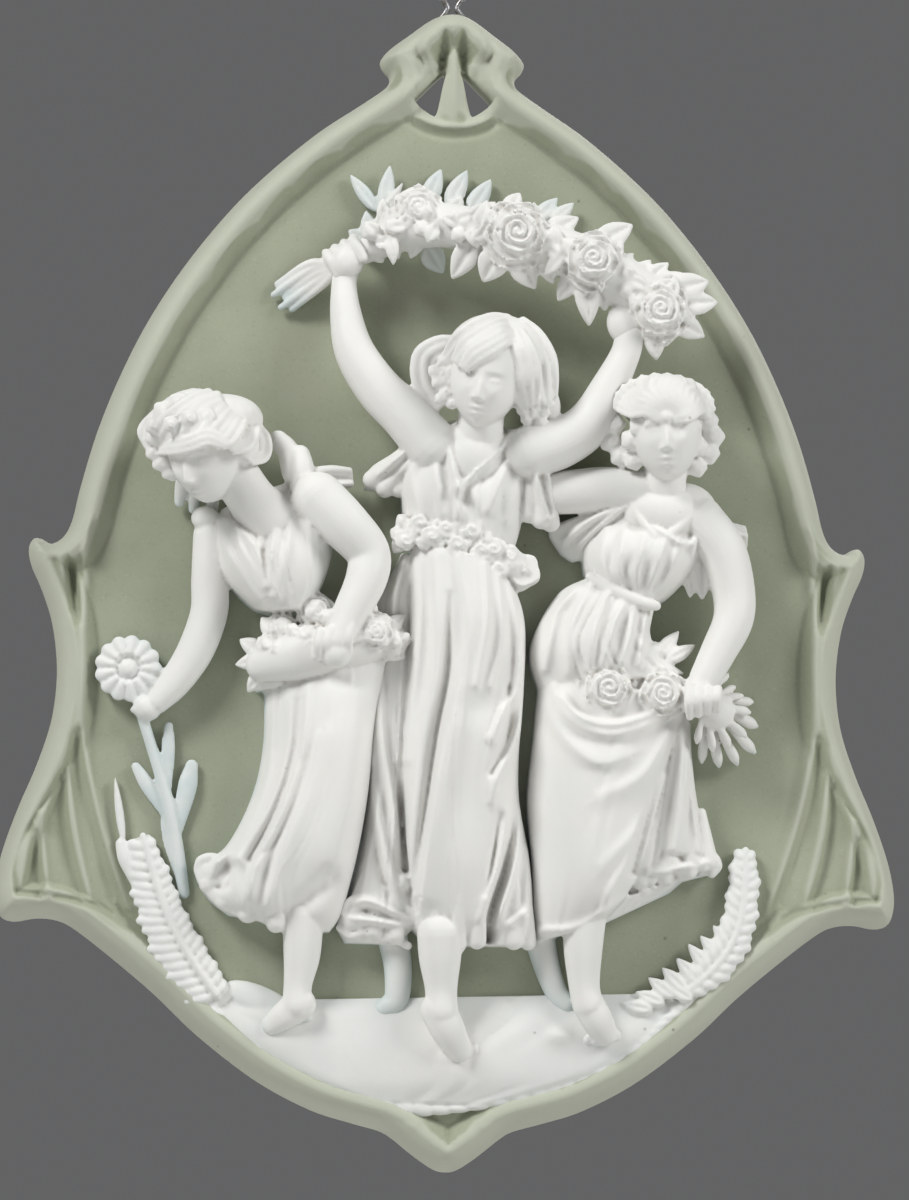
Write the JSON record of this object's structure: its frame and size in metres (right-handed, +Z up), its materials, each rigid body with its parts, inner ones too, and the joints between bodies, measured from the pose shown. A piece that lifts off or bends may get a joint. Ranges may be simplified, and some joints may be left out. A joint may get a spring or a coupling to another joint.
{
  "type": "decorative wall plaque",
  "caption": "Pointed oval ceramic wall plaque with a raised rim, horned wings and a pierced crown, carrying a white relief of three draped figures under a garland.",
  "frame": {"origin": "centre of the hanging wire's eye, which a nail or hook holds", "axes": "+Z up, the front faces -Y, the flat back lies just behind the origin on the wall, +X to the viewer's right"},
  "size_m": [0.1915, 0.0349, 0.2617],
  "materials": {
    "green_ceramic": "unglazed sage green ceramic, matt",
    "white_ceramic": "unglazed white ceramic, softly matt, with dust in the crevices",
    "wire": "dull old steel wire"
  },
  "bodies": {
    "root": {"plaque": "green_ceramic", "relief": "white_ceramic", "hanging_wire": "wire"}
  },
  "joints": []
}
